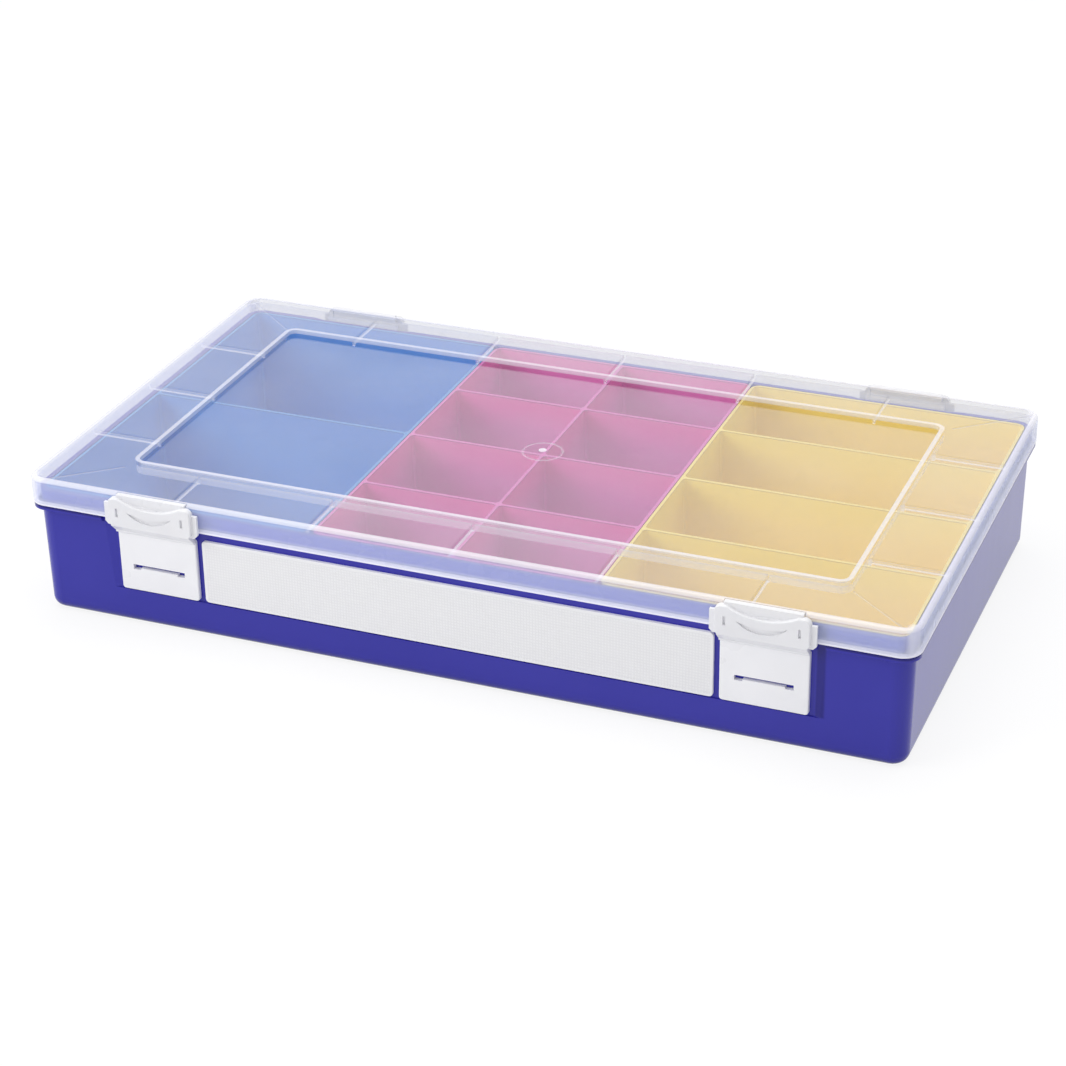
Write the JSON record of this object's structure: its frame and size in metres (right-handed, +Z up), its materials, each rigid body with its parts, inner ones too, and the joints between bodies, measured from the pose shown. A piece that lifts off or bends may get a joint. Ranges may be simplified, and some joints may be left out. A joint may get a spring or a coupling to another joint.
{
  "type": "assortment case",
  "caption": "Flat hinged box with a frosted see-through lid, loose divided trays of three colours and film-hinge clips as latches and hinges.",
  "frame": {"origin": "centre of the base's flat underside", "axes": "+X along the case to the right, +Y from the latches at the front to the hinges, +Z up"},
  "size_m": [0.335, 0.189, 0.055],
  "materials": {
    "base_blue": "glossy moulded",
    "insert_blue": "moulded",
    "insert_red": "moulded",
    "insert_yellow": "moulded",
    "label_white": "fine grid grain",
    "lid_frosted": "frosted translucent",
    "clip_white": "satin moulded"
  },
  "bodies": {
    "base": {"base_shell": "base_blue", "insert_blue": "insert_blue", "insert_red": "insert_red", "insert_yellow": "insert_yellow", "label_strip": "label_white", "latch_left_plate": "clip_white", "latch_right_plate": "clip_white", "hinge_left_plate": "clip_white", "hinge_right_plate": "clip_white"},
    "lid": {"lid_cover": "lid_frosted", "hinge_left_flap": "clip_white", "hinge_right_flap": "clip_white"},
    "latch_left": {"latch_left_flap": "clip_white"},
    "latch_right": {"latch_right_flap": "clip_white"}
  },
  "joints": [
    {"name": "lid_hinge", "type": "hinge", "parent": "base", "child": "lid", "pos_m": [0, 0.09065, 0.0396], "axis": [-1, 0, 0], "range_deg": [0, 120]},
    {"name": "latch_left_hinge", "type": "hinge", "parent": "base", "child": "latch_left", "pos_m": [-0.115, -0.09065, 0.0396], "axis": [1, 0, 0], "range_deg": [0, 120]},
    {"name": "latch_right_hinge", "type": "hinge", "parent": "base", "child": "latch_right", "pos_m": [0.115, -0.09065, 0.0396], "axis": [1, 0, 0], "range_deg": [0, 120]}
  ]
}
